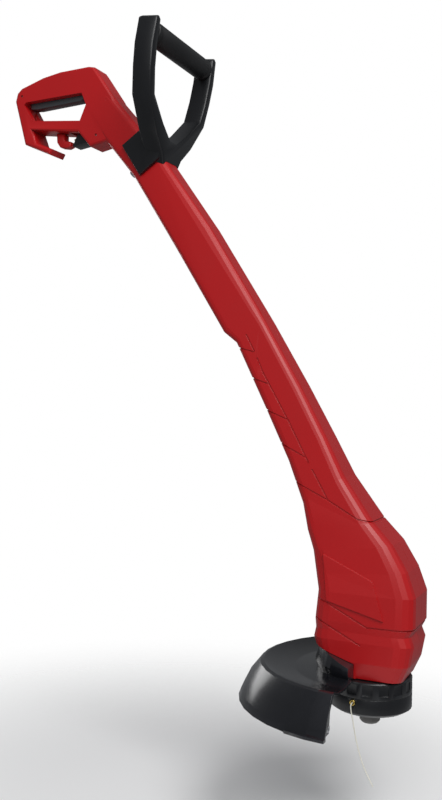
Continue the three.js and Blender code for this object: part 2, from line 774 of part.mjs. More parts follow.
const radial = (reach, z) => [eyeletOut[0] * reach, eyeletOut[1] * reach, z];
const eyeletHeight = 15.5;
const EYELET_RADIUS = 3.2;
const throughWall = (from, to, radius) =>
  rod(radial(from, eyeletHeight), radial(to, eyeletHeight), radius, 16);
const eyeletHole = throughWall(wallIn - 4, HEAD_RADIUS + 4, EYELET_RADIUS + GAP);
const eyelet = throughWall(wallIn - 0.5, HEAD_RADIUS + 0.8, EYELET_RADIUS).subtract(
  rod(radial(wallIn - 4, eyeletHeight), radial(HEAD_RADIUS + 4, eyeletHeight), 1.7, 16),
);
// A place of the hanging line, from where it leaves the cap.
const hanging = (x, y, z) => {
  const from = radial(HEAD_RADIUS, eyeletHeight);
  return [from[0] + x, from[1] + y, from[2] + z];
};
const linePoints = [
  radial(wallIn - 2, eyeletHeight),
  radial(HEAD_RADIUS + 1.2, eyeletHeight - 0.3),
  radial(HEAD_RADIUS + 4, eyeletHeight - 3),
  hanging(3.2, -7.6, -17.5),
  hanging(9.2, -12.6, -37.5),
  hanging(18.2, -18.6, -57.5),
  hanging(31.2, -25.6, -75.5),
];
const head = [
  piece("spool_drum", turned(holderProfile, 40).subtract(union(...recesses, latchRoom)), black),
  piece("drum_cap", turned(capProfile, 40).subtract(union(eyeletHole, latchRoom)), black),
  piece("latch_front", latchBlock(latchTurns[0], 0).subtract(latchGrooves(latchTurns[0])), black),
  piece("latch_rear", latchBlock(latchTurns[1], 0).subtract(latchGrooves(latchTurns[1])), black),
  piece("eyelet", eyelet, brass),
  piece("tap_knob", turned(knobProfile, 32), grey),
  piece("spool", turned(spoolProfile, 32), charcoal),
  piece("wound_line", ring(14 + GAP, spoolRadius - 4, spoolLow + 2 + GAP, spoolHigh - 2 - GAP, 32), nylon),
  piece("tap_spring", coil(0, spoolHigh + GAP, drumFloor - GAP, hubRadius + 3, 3, 0.6), steel),
  piece("cutting_line", cable(linePoints, LINE_RADIUS, 24, 6), nylon),
];

// ---- Guard --------------------------------------------------------------------------------------
const guardFront = -5;
const guardFacets = 36;
const guardTop = [
  [COLLAR_RADIUS - 4, 43],
  [GUARD_RADIUS - 63, 41.5],
  [GUARD_RADIUS - 40, 44],
  [GUARD_RADIUS - 28, 48],
  [GUARD_RADIUS - 24, 46.5],
  [GUARD_RADIUS - 11, GUARD_RIM + 24],
  [GUARD_RADIUS - 3, GUARD_RIM + 8],
  [GUARD_RADIUS, GUARD_RIM],
];
const guardUnder = guardTop.map(([r, z], i) => [r - (i > 3 ? GUARD_WALL : 0), z - (i < 6 ? GUARD_WALL : 0)]);
const dish = turned([...guardTop, ...guardUnder.reverse()], guardFacets);
const endWall = turned(
  [
    [GUARD_RADIUS - 32, 44],
    ...guardTop.slice(3),
    [GUARD_RADIUS - 26, GUARD_RIM],
  ],
  guardFacets,
).intersect(box([guardFront - 7, -200, 0], [guardFront - 4, 0, 100]));
const foot = ring(GUARD_RADIUS - 4, GUARD_RADIUS + 3, GUARD_RIM, GUARD_RIM + 3, guardFacets).intersect(
  box([guardFront - 45, -200, 0], [guardFront, 0, 100]),
);
const collar = turned(
  [
    [neckRadius + GAP, 40.3],
    [COLLAR_RADIUS - 4, 40.3],
    [COLLAR_RADIUS, 51],
    [COLLAR_RADIUS - 5, 66],
    [COLLAR_RADIUS - 12, 80],
    [neckRadius + GAP, 84],
  ],
  48,
).intersect(belowSlope(GAP));
const guardScrewHeight = bodyLow + 8;
const outFrom = (angle, reach) => [
  reach * Math.cos(rad(angle)),
  reach * Math.sin(rad(angle)),
  guardScrewHeight,
];
const guardScrewHead = COLLAR_RADIUS - 8;
const collarHoles = guardAngles.map((angle) =>
  union(
    rod(outFrom(angle, 30), outFrom(angle, 90), SCREW_RADIUS + GAP, 8),
    rod(outFrom(angle, guardScrewHead), outFrom(angle, 90), SCREW_HEAD_RADIUS + GAP, 16),
  ),
);
const screwSocket = 1.8;
const cutterSpot = { y: -(GUARD_RADIUS - 18), z: GUARD_RIM + 8 };
const cutterBack = guardFront - 7;
const cutterHole = rod(
  [cutterBack - 10, cutterSpot.y, cutterSpot.z],
  [guardFront + 5, cutterSpot.y, cutterSpot.z],
  SCREW_RADIUS + GAP,
  12,
);
const guardBody = union(dish, collar)
  .intersect(box([-200, -200, 0], [guardFront, 200, 200]))
  .add(union(endWall, foot))
  .subtract(union(...collarHoles, cutterHole, disc(neckRadius + GAP, 0, 200, 48)));
const cutterBlade = box(
  [cutterBack - GAP - 1.5, cutterSpot.y - 7, cutterSpot.z - 6],
  [cutterBack - GAP, cutterSpot.y + 20, cutterSpot.z + 6],
).subtract(cutterHole);
const headedScrew = (from, tip, under) => {
  const a = new THREE.Vector3(...from);
  const b = new THREE.Vector3(...tip);
  const direction = b.clone().sub(a).normalize();
  const neck = a.clone().addScaledVector(direction, under).toArray();
  const socketEnd = a.clone().addScaledVector(direction, under * 0.55).toArray();
  const before = a.clone().addScaledVector(direction, -2).toArray();
  return union(rod(from, neck, SCREW_HEAD_RADIUS, 12), rod(from, tip, SCREW_RADIUS, 8)).subtract(
    rod(before, socketEnd, screwSocket, 6),
  );
};
const headHeight = 2.4;
const guard = [
  piece("guard", largest(guardBody), black),
  ...guardAngles.map((angle, i) =>
    piece(
      "guard_screw_" + (i + 1),
      headedScrew(
        outFrom(angle, guardScrewHead + headHeight + GAP),
        outFrom(angle, neckRadius - WALL - 1),
        headHeight,
      ),
      steel,
    ),
  ),
  piece("line_cutter", cutterBlade, steel),
  piece(
    "cutter_screw",
    headedScrew(
      [guardFront - 4 + GAP + headHeight, cutterSpot.y, cutterSpot.z],
      [cutterBack - 5, cutterSpot.y, cutterSpot.z],
      headHeight,
    ),
    steel,
  ),
];

// ---- Loop handle --------------------------------------------------------------------------------
const gripLength = 2 * (LOOP_HALF_WIDTH - 9) - 2 * GAP;
const loopFoot = onShaft(loopAlong, -9);
const gripRise = LOOP_HEIGHT - GRIP_RADIUS - 3;
const loopOuter = [
  [16, -14],
  [25, 4],
  [46, 24],
  [LOOP_HALF_WIDTH - 7, 60],
  [LOOP_HALF_WIDTH, 92],
  [LOOP_HALF_WIDTH + 3, 118],
  [LOOP_HALF_WIDTH + 1, LOOP_HEIGHT - 3],
  [LOOP_HALF_WIDTH - 4, LOOP_HEIGHT],
  [LOOP_HALF_WIDTH - 9, LOOP_HEIGHT - 3],
];
const loopInner = [
  [LOOP_HALF_WIDTH - 9, 118],
  [LOOP_HALF_WIDTH - 12, 92],
  [LOOP_HALF_WIDTH - 19, 64],
  [32, 38],
  [9, 22],
];
const rightSide = [...loopOuter, ...loopInner];
const mirrored = rightSide.map(([y, z]) => [-y, z]).reverse();
const loopShape = polygon([...rightSide, ...mirrored]);
// The shape is drawn in X-Z and turned to stand across the shaft.
const standUp = (body) =>
  body
    .rotate([0, 0, 90])
    .rotate([0, LOOP_TILT, 0])
    .translate([loopFoot[0], 0, loopFoot[1]]);
const loopPlate = standUp(plate(loopShape, -LOOP_DEPTH / 2, LOOP_DEPTH / 2, 2.4, 2));
const gripTurned = (points) => standUp(turned(points, 24).rotate([0, 90, 0]).translate([0, 0, gripRise]));
const gripBar = gripTurned([
  [0, -LOOP_HALF_WIDTH],
  [CORE_RADIUS, -LOOP_HALF_WIDTH],
  [CORE_RADIUS, LOOP_HALF_WIDTH],
  [0, LOOP_HALF_WIDTH],
]);
const groove = (y) => [
  [GRIP_RADIUS, y - 2],
  [GRIP_RADIUS - 1.2, y - 1],
  [GRIP_RADIUS - 1.2, y + 1],
  [GRIP_RADIUS, y + 2],
];
const gripSleeve = gripTurned([
  [CORE_RADIUS + GAP, -gripLength / 2],
  [GRIP_RADIUS - 1, -gripLength / 2],
  [GRIP_RADIUS, -gripLength / 2 + 1],
  ...groove(-gripLength / 2 + 9),
  ...groove(gripLength / 2 - 9),
  [GRIP_RADIUS, gripLength / 2 - 1],
  [GRIP_RADIUS - 1, gripLength / 2],
  [CORE_RADIUS + GAP, gripLength / 2],
]);
const saddle = plate(
  polygon([
    onShaft(loopAlong - 7, 20),
    onShaft(loopAlong - 7, 8 - SHAFT_CROWN),
    onShaft(loopAlong - 2, -2 - SHAFT_CROWN),
    onShaft(loopAlong + 14, -4 - SHAFT_CROWN),
    onShaft(loopAlong + 40, 8 - SHAFT_CROWN),
    onShaft(loopAlong + 40, 20),
  ]),
  -SHAFT_HALF_WIDTH - 6,
  SHAFT_HALF_WIDTH + 6,
  2,
);
const nutFace = 4 - SHAFT_CROWN; // in front of the arched face, inside the saddle
const nutPocket = rod(lengthwise(nutFace), lengthwise(-60), 4.4 + GAP, 6);
const loopFrame = union(loopPlate, gripBar, saddle)
  .subtract(skin(bodyStations, GAP))
  .subtract(union(boltHole, nutPocket));
const boltEnd = nutFace - 4;
const loop = [
  piece("loop_handle", largest(loopFrame), black),
  piece("loop_grip", gripSleeve, rubber),
  piece(
    "handle_bolt",
    union(
      rod(lengthwise(SHAFT_DEPTH + 2 - GAP + 3), lengthwise(SHAFT_DEPTH + 2 - GAP), 4.6, 20),
      rod(lengthwise(SHAFT_DEPTH + 2), lengthwise(boltEnd), 2.5, 16),
    ),
    steel,
  ),
  piece(
    "handle_nut",
    rod(lengthwise(nutFace - GAP), lengthwise(boltEnd + GAP), 4.4, 6).subtract(
      rod(lengthwise(10), lengthwise(-60), 2.5 + GAP, 16),
    ),
    steel,
  ),
];

// ---- Housing screws -----------------------------------------------------------------------------
const housingScrews = screwPlaces.map(([x, z], i) =>
  piece(
    "housing_screw_" + (i + 1),
    headedScrew([x, screwSeat + GAP + headHeight, z], [x, -screwSeat - 6, z], headHeight),
    steel,
  ),
);

// ---- Assembly: the origin goes to the middle of the rear grip ------------------------------------
const gripCentre = fromTop(openingFront - HAND_OPENING / 2, -18);
const group = new THREE.Group();
group.name = "string_trimmer";
group.add(
  ...housing,
  ...housingScrews,
  ...mains,
  ...controls,
  ...wiring,
  ...motor,
  ...head,
  ...guard,
  ...loop,
);
group.position.set(-gripCentre[0], 0, -gripCentre[1]);

export default group;
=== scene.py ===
"""A corded string trimmer: moulded shells, metal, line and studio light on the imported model."""

import logging
import math
from dataclasses import dataclass, field
from enum import Enum

import bpy
from mathutils import Matrix, Vector


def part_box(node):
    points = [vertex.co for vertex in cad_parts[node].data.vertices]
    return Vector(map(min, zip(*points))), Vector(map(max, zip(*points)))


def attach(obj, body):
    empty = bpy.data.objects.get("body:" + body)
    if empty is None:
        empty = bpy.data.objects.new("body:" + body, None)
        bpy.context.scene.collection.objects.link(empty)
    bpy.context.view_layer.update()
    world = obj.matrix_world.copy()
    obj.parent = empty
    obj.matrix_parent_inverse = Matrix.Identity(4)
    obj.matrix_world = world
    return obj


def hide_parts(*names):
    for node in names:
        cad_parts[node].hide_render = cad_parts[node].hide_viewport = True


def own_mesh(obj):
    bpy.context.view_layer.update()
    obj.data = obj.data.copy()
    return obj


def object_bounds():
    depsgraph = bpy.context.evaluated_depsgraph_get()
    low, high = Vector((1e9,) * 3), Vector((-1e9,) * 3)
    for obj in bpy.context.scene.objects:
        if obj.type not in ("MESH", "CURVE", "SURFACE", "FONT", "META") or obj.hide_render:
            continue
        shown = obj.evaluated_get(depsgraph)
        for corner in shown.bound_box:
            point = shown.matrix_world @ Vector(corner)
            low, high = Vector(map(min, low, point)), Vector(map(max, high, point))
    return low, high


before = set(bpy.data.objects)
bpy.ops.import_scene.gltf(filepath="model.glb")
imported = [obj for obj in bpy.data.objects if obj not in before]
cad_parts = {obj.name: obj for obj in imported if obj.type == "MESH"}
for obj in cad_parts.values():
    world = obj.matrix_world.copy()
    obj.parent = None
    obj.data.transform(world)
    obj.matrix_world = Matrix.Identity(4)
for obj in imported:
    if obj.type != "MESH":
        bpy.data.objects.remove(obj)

log = logging.getLogger("trimmer")
CAD_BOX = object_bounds()
MM = 0.001
MERGE_WITHIN = 0.02 * MM
FLAT_WITHIN = math.radians(0.6)


class Rides(Enum):
    """The moving bodies that a piece can ride on."""

    BODY = "body"
    ROTOR = "rotor"
    LATCH_FRONT = "latch_front"
    LATCH_REAR = "latch_rear"
    TAP = "tap_button"
    TRIGGER = "trigger"


def select_only(*pieces: bpy.types.Object) -> None:
    """Selects these pieces and nothing else.

    Args:
        pieces: the pieces to select; the first becomes the active one.
    """
    bpy.ops.object.select_all(action="DESELECT")
    for piece in pieces:
        piece.select_set(True)
    bpy.context.view_layer.objects.active = pieces[0]


def copy_of(node: str, name: str) -> bpy.types.Object:
    """Makes a merged copy of a CAD node with its own mesh.

    Args:
        node: the CAD node's name.
        name: the new piece's name.

    Returns:
        The copy, in place, with its doubled points merged and its flat faces joined.
    """
    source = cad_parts[node]
    piece = source.copy()
    piece.data = source.data.copy()
    for key in list(piece.keys()):
        del piece[key]
    piece.parent = None
    piece.name = name
    piece.data.name = name
    piece.data.materials.clear()
    bpy.context.scene.collection.objects.link(piece)
    select_only(piece)
    bpy.ops.object.mode_set(mode="EDIT")
    bpy.ops.mesh.select_all(action="SELECT")
    bpy.ops.mesh.remove_doubles(threshold=MERGE_WITHIN)
    bpy.ops.mesh.dissolve_limited(angle_limit=FLAT_WITHIN)
    bpy.ops.object.mode_set(mode="OBJECT")
    return piece


def apply_modifier(piece: bpy.types.Object, kind: str, **settings: object) -> None:
    """Adds a modifier with its settings and applies it.

    Args:
        piece: the piece to change.
        kind: the modifier's type, such as BEVEL.
        settings: its properties by name.
    """
    select_only(piece)
    modifier = piece.modifiers.new(kind.lower(), kind)
    for key, value in settings.items():
        setattr(modifier, key, value)
    bpy.ops.object.modifier_apply(modifier=modifier.name)


def round_edges(
    piece: bpy.types.Object, width: float, angle: float = 32.0, segments: int = 2
) -> None:
    """Rounds the sharp edges of a piece.

    Args:
        piece: the piece to change.
        width: width of the rounding, in metres.
        angle: edges sharper than this many degrees are rounded.
        segments: faces across each rounding.
    """
    apply_modifier(
        piece,
        "BEVEL",
        width=width,
        segments=segments,
        limit_method="ANGLE",
        angle_limit=math.radians(angle),
        use_clamp_overlap=True,
    )


def smooth(piece: bpy.types.Object, angle: float = 35.0) -> None:
    """Shades a piece smooth up to a crease angle.

    Args:
        piece: the piece to shade.
        angle: the crease angle in degrees.
    """
    select_only(piece)
    bpy.ops.object.shade_smooth_by_angle(angle=math.radians(angle))


def cut(piece: bpy.types.Object, cutters: list[bpy.types.Object]) -> None:
    """Cuts shapes out of a piece and removes the cutters.

    Args:
        piece: the piece to cut.
        cutters: closed shapes; they are deleted afterwards.
    """
    for cutter in cutters:
        apply_modifier(piece, "BOOLEAN", operation="DIFFERENCE", object=cutter, solver="EXACT")
        bpy.data.objects.remove(cutter)


def block(name: str, size: Vector, place: Matrix) -> bpy.types.Object:
    """Adds a box with its place in its mesh.

    Args:
        name: the box's name.
        size: its length, width and height in metres.
        place: where its middle goes and how it is turned.

    Returns:
        The box.
    """
    bpy.ops.object.select_all(action="DESELECT")
    bpy.ops.mesh.primitive_cube_add(size=1.0)
    piece = bpy.context.active_object
    piece.name = name
    piece.data.transform(place @ Matrix.Diagonal((*size, 1.0)))
    return piece


class NodeTree:
    """A thin hand on a node tree, for short material code."""

    def __init__(self, tree: bpy.types.NodeTree) -> None:
        """Takes the tree.

        Args:
            tree: the node tree to add to.
        """
        self.tree = tree
        self.column = 0

    def add(self, kind: str, **settings: object) -> bpy.types.Node:
        """Adds a node.

        Args:
            kind: the node's type.
            settings: its properties by name.

        Returns:
            The new node.
        """
        node = self.tree.nodes.new(kind)
        node.location = (self.column * 190, 0)
        self.column += 1
        for key, value in settings.items():
            setattr(node, key, value)
        return node

    def link(self, out: bpy.types.NodeSocket, into: bpy.types.NodeSocket) -> None:
        """Joins an output to an input."""
        self.tree.links.new(out, into)


class Effects:
    """The shared surface effects, each one a shader node group built once."""

    def __init__(self) -> None:
        """Builds the groups."""
        self.grain = self._grain()
        self.wear = self._wear()
        self.dust = self._dust()

    @staticmethod
    def _group(name: str, inputs: dict[str, float], outputs: list[str]) -> tuple[NodeTree, object, object]:
        """Starts a group with its sockets.

        Args:
            name: the group's name.
            inputs: each input's name and first value.
            outputs: the outputs' names.

        Returns:
            The tree, its input node and its output node.
        """
        tree = bpy.data.node_groups.new(name, "ShaderNodeTree")
        for socket, value in inputs.items():
            made = tree.interface.new_socket(socket, in_out="INPUT", socket_type="NodeSocketFloat")
            made.default_value = value
        for socket in outputs:
            tree.interface.new_socket(socket, in_out="OUTPUT", socket_type="NodeSocketFloat")
        hand = NodeTree(tree)
        return hand, hand.add("NodeGroupInput"), hand.add("NodeGroupOutput")

    def _grain(self) -> bpy.types.NodeTree:
        """Builds the fine grain of a mould, with a slow change of gloss.

        Returns:
            The group, which puts out a height and a slow mask.
        """
        hand, given, out = self._group("mould_grain", {"Scale": 900.0, "Depth": 0.5}, ["Height", "Cloud"])
        place = hand.add("ShaderNodeTexCoord")
        fine = hand.add("ShaderNodeTexNoise")
        fine.inputs["Detail"].default_value = 4.0
        slow = hand.add("ShaderNodeTexNoise")
        slow.inputs["Scale"].default_value = 14.0
        slow.inputs["Detail"].default_value = 3.0
        depth = hand.add("ShaderNodeMath", operation="MULTIPLY")
        hand.link(place.outputs["Object"], fine.inputs["Vector"])
        hand.link(place.outputs["Object"], slow.inputs["Vector"])
        hand.link(given.outputs["Scale"], fine.inputs["Scale"])
        hand.link(fine.outputs["Fac"], depth.inputs[0])
        hand.link(given.outputs["Depth"], depth.inputs[1])
        hand.link(depth.outputs[0], out.inputs["Height"])
        hand.link(slow.outputs["Fac"], out.inputs["Cloud"])
        return hand.tree

    def _wear(self) -> bpy.types.NodeTree:
        """Builds the mask of rubbed edges.

        Returns:
            The group, which puts out a mask.
        """
        hand, given, out = self._group("edge_wear", {"Amount": 0.5}, ["Mask"])
        shape = hand.add("ShaderNodeNewGeometry")
        edge = hand.add("ShaderNodeMapRange", clamp=True)
        edge.inputs["From Min"].default_value = 0.53
        edge.inputs["From Max"].default_value = 0.64
        place = hand.add("ShaderNodeTexCoord")
        patch = hand.add("ShaderNodeTexNoise")
        patch.inputs["Scale"].default_value = 120.0
        patch.inputs["Detail"].default_value = 6.0
        broken = hand.add("ShaderNodeMath", operation="MULTIPLY")
        amount = hand.add("ShaderNodeMath", operation="MULTIPLY")
        hand.link(shape.outputs["Pointiness"], edge.inputs["Value"])
        hand.link(place.outputs["Object"], patch.inputs["Vector"])
        hand.link(edge.outputs["Result"], broken.inputs[0])
        hand.link(patch.outputs["Fac"], broken.inputs[1])
        hand.link(broken.outputs[0], amount.inputs[0])
        hand.link(given.outputs["Amount"], amount.inputs[1])
        hand.link(amount.outputs[0], out.inputs["Mask"])
        return hand.tree

    def _dust(self) -> bpy.types.NodeTree:
        """Builds the mask of fine dust on faces that look up.

        Returns:
            The group, which puts out a mask.
        """
        hand, given, out = self._group("fine_dust", {"Amount": 0.1}, ["Mask"])
        shape = hand.add("ShaderNodeNewGeometry")
        split = hand.add("ShaderNodeSeparateXYZ")
        up = hand.add("ShaderNodeMapRange", clamp=True)
        up.inputs["From Min"].default_value = 0.2
        place = hand.add("ShaderNodeTexCoord")
        patch = hand.add("ShaderNodeTexNoise")
        patch.inputs["Scale"].default_value = 45.0
        patch.inputs["Detail"].default_value = 8.0
        soft = hand.add("ShaderNodeMath", operation="MULTIPLY")
        amount = hand.add("ShaderNodeMath", operation="MULTIPLY")
        hand.link(shape.outputs["Normal"], split.inputs["Vector"])
        hand.link(split.outputs["Z"], up.inputs["Value"])
        hand.link(place.outputs["Object"], patch.inputs["Vector"])
        hand.link(up.outputs["Result"], soft.inputs[0])
        hand.link(patch.outputs["Fac"], soft.inputs[1])
        hand.link(soft.outputs[0], amount.inputs[0])
        hand.link(given.outputs["Amount"], amount.inputs[1])
        hand.link(amount.outputs[0], out.inputs["Mask"])
        return hand.tree


@dataclass(frozen=True)
class Finish:
    """One surface finish, from its colour down to its grain.

    Colours are linear red, green and blue.
    """

    name: str
    colour: tuple[float, float, float]
    worn: tuple[float, float, float]
    roughness: float
    spread: float = 0.06
    metallic: float = 0.0
    grain_scale: float = 1400.0
    grain_depth: float = 0.5
    bump: float = 0.12
    wear: float = 0.4
    dust: float = 0.05
    coat: float = 0.0
    tint: float = 0.12
    soft_edge: float = 0.0007

    def material(self, effects: Effects) -> bpy.types.Material:
        """Makes the material.

        Args:
            effects: the shared node groups.

        Returns:
            The material.
        """
        made = bpy.data.materials.new(self.name)
        made.use_nodes = True
        hand = NodeTree(made.node_tree)
        made.node_tree.nodes.clear()
        out = hand.add("ShaderNodeOutputMaterial")
        shader = hand.add("ShaderNodeBsdfPrincipled")
        shader.inputs["Metallic"].default_value = self.metallic
        shader.inputs["Coat Weight"].default_value = self.coat
        shader.inputs["Coat Roughness"].default_value = 0.18
        grain = hand.add("ShaderNodeGroup", node_tree=effects.grain)
        grain.inputs["Scale"].default_value = self.grain_scale
        grain.inputs["Depth"].default_value = self.grain_depth
        wear = hand.add("ShaderNodeGroup", node_tree=effects.wear)
        wear.inputs["Amount"].default_value = self.wear
        dust = hand.add("ShaderNodeGroup", node_tree=effects.dust)
        dust.inputs["Amount"].default_value = self.dust
        cloud = hand.add("ShaderNodeMix", data_type="RGBA")
        cloud.inputs[6].default_value = (*self.colour, 1.0)
        cloud.inputs[7].default_value = (*(c * (1.0 - self.tint) for c in self.colour), 1.0)
        rubbed = hand.add("ShaderNodeMix", data_type="RGBA")
        rubbed.inputs[7].default_value = (*self.worn, 1.0)
        dusty = hand.add("ShaderNodeMix", data_type="RGBA")
        dusty.inputs[7].default_value = (0.42, 0.40, 0.36, 1.0)
        gloss = hand.add("ShaderNodeMapRange")
        gloss.inputs["To Min"].default_value = self.roughness - self.spread
        gloss.inputs["To Max"].default_value = self.roughness + self.spread
        edge = hand.add("ShaderNodeBevel", samples=4)
        edge.inputs["Radius"].default_value = self.soft_edge
        relief = hand.add("ShaderNodeBump")
        relief.inputs["Strength"].default_value = self.bump
        relief.inputs["Distance"].default_value = 0.0004
        hand.link(grain.outputs["Cloud"], cloud.inputs[0])
        hand.link(cloud.outputs[2], rubbed.inputs[6])
        hand.link(wear.outputs["Mask"], rubbed.inputs[0])
        hand.link(rubbed.outputs[2], dusty.inputs[6])
        hand.link(dust.outputs["Mask"], dusty.inputs[0])
        hand.link(dusty.outputs[2], shader.inputs["Base Color"])
        hand.link(grain.outputs["Cloud"], gloss.inputs["Value"])
        hand.link(gloss.outputs["Result"], shader.inputs["Roughness"])
        hand.link(grain.outputs["Height"], relief.inputs["Height"])
        hand.link(edge.outputs["Normal"], relief.inputs["Normal"])
        hand.link(relief.outputs["Normal"], shader.inputs["Normal"])
        hand.link(shader.outputs["BSDF"], out.inputs["Surface"])
        return made


class Palette:
    """Every finish of the trimmer, as materials made once."""

    FINISHES = (
        Finish(
            "red_moulding",
            (0.47, 0.004, 0.006),
            (0.56, 0.02, 0.02),
            0.40,
            bump=0.03,
            wear=0.15,
            dust=0.006,
        ),
        Finish("black_moulding", (0.005, 0.0055, 0.007), (0.06, 0.063, 0.07), 0.32, bump=0.10, dust=0.012),
        Finish(
            "guard_gloss",
            (0.005, 0.0055, 0.008),
            (0.07, 0.073, 0.085),
            0.24,
            grain_scale=700.0,
            bump=0.07,
            coat=0.3,
            dust=0.01,
        ),
        Finish(
            "soft_grip",
            (0.005, 0.005, 0.006),
            (0.03, 0.03, 0.033),
            0.55,
            grain_scale=2200.0,
            bump=0.3,
            wear=0.2,
            dust=0.01,
        ),
        Finish("grey_moulding", (0.060, 0.072, 0.078), (0.16, 0.17, 0.18), 0.46, wear=0.3),
        Finish(
            "knob_grey",
            (0.13, 0.125, 0.12),
            (0.30, 0.28, 0.26),
            0.5,
            grain_scale=420.0,
            bump=0.3,
            wear=0.9,
            dust=0.2,
        ),
        Finish(
            "plain_steel",
            (0.55, 0.56, 0.58),
            (0.75, 0.76, 0.78),
            0.28,
            metallic=1.0,
            wear=0.3,
            grain_scale=500.0,
        ),
        Finish("brass", (0.72, 0.52, 0.14), (0.85, 0.70, 0.35), 0.26, metallic=1.0, wear=0.3, dust=0.02),
        Finish(
            "copper_winding",
            (0.62, 0.26, 0.12),
            (0.8, 0.45, 0.25),
            0.35,
            metallic=1.0,
            grain_scale=260.0,
            bump=0.6,
        ),
        Finish("carbon", (0.02, 0.02, 0.021), (0.05, 0.05, 0.05), 0.7, grain_scale=600.0, bump=0.3),
        Finish(
            "nylon_line",
            (0.74, 0.72, 0.62),
            (0.85, 0.84, 0.78),
            0.34,
            tint=0.08,
            wear=0.1,
            soft_edge=0.0001,
        ),
    )

    def __init__(self) -> None:
        """Makes the materials."""
        effects = Effects()
        self.made = {finish.name: finish.material(effects) for finish in self.FINISHES}

    def paint(self, piece: bpy.types.Object, finish: str) -> None:
        """Gives a piece one finish.

        Args:
            piece: the piece to paint.
            finish: the finish's name.
        """
        piece.data.materials.clear()
        piece.data.materials.append(self.made[finish])


@dataclass(frozen=True)
class Lamp:
    """A square soft light that looks at the middle of the trimmer.

    Place and size are in metres, power in watts.
    """

    name: str
    place: tuple[float, float, float]
    size: float
    power: float

    def build(self) -> None:
        """Adds the light."""
        data = bpy.data.lights.new(self.name, "AREA")
        data.size = self.size
        data.energy = self.power
        lamp = bpy.data.objects.new(self.name, data)
        way = (CAD_BOX[0] + CAD_BOX[1]) / 2 - Vector(self.place)
        turned = way.to_track_quat("-Z", "Y").to_matrix().to_4x4()
        lamp.matrix_world = Matrix.Translation(self.place) @ turned
        bpy.context.scene.collection.objects.link(lamp)


